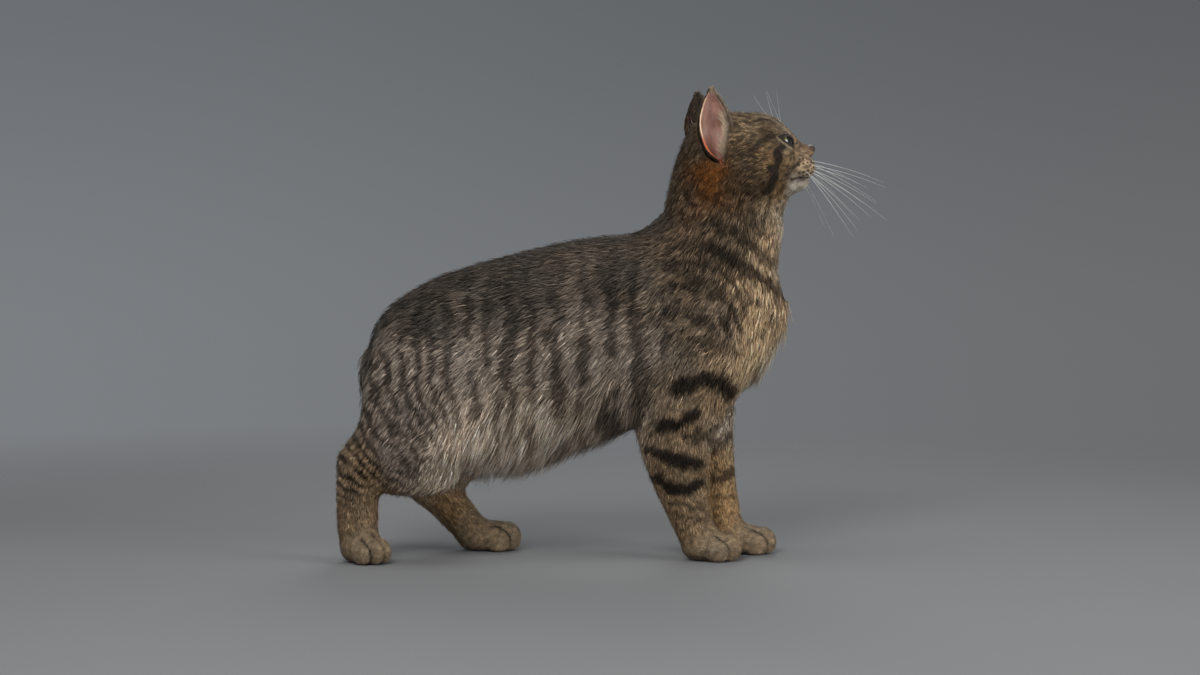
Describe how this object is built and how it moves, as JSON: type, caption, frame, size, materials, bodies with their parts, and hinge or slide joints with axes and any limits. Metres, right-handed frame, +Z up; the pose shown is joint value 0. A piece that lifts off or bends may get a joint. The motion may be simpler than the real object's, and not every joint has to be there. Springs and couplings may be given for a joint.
{
  "type": "life-size standing manx cat model",
  "caption": "Still, life-size model of a tailless brown tabby shorthair cat, standing in profile with its head raised and whiskers spread.",
  "frame": {"origin": "bottom centre of the bounding box, on the floor under the soles", "axes": "+X towards the cat's nose, along its body; +Y to the cat's left; +Z up"},
  "size_m": [0.4352, 0.138, 0.3715],
  "materials": {
    "coat": "short dense grey-brown tabby fur, cream on the chest and chin, with dark stripes and leg bars",
    "ear_skin": "thin pink skin with fine pale hair",
    "eye": "wet green-gold iris with a dark slit pupil",
    "nose_leather": "fine-grained mauve-brown nose leather"
  },
  "bodies": {
    "root": {"head": "coat", "neck": "coat", "torso": "coat", "upper_arm_left": "coat", "upper_arm_right": "coat", "forearm_left": "coat", "forearm_right": "coat", "forepaw_left": "coat", "forepaw_right": "coat", "thigh_left": "coat", "thigh_right": "coat", "shank_left": "coat", "shank_right": "coat", "hindpaw_left": "coat", "hindpaw_right": "coat", "ear_left": "ear_skin", "ear_right": "ear_skin", "eye_left": "eye", "eye_right": "eye", "nose": "nose_leather"}
  },
  "joints": []
}
